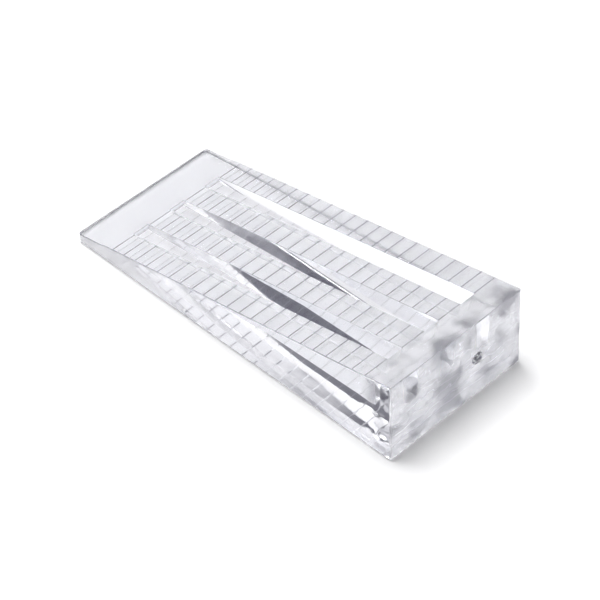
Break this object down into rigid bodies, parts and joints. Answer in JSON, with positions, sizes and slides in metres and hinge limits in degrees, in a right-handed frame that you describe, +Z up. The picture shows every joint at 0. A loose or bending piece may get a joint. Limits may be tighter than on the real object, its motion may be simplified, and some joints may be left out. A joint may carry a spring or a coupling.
{
  "type": "levelling wedge",
  "caption": "Clear moulded wedge that levels furniture and equipment, with cross grooves above and below, long cored slots and a smooth thumb strip.",
  "frame": {"origin": "centre of the flat base, on the surface that the wedge lies on", "axes": "+X from the thin edge to the thick end, +Y across the width, +Z up from the base"},
  "size_m": [0.092, 0.038, 0.0203],
  "materials": {
    "clear_plastic": "clear, water-white, polished moulding"
  },
  "bodies": {
    "root": {"wedge_body": "clear_plastic"}
  },
  "joints": []
}
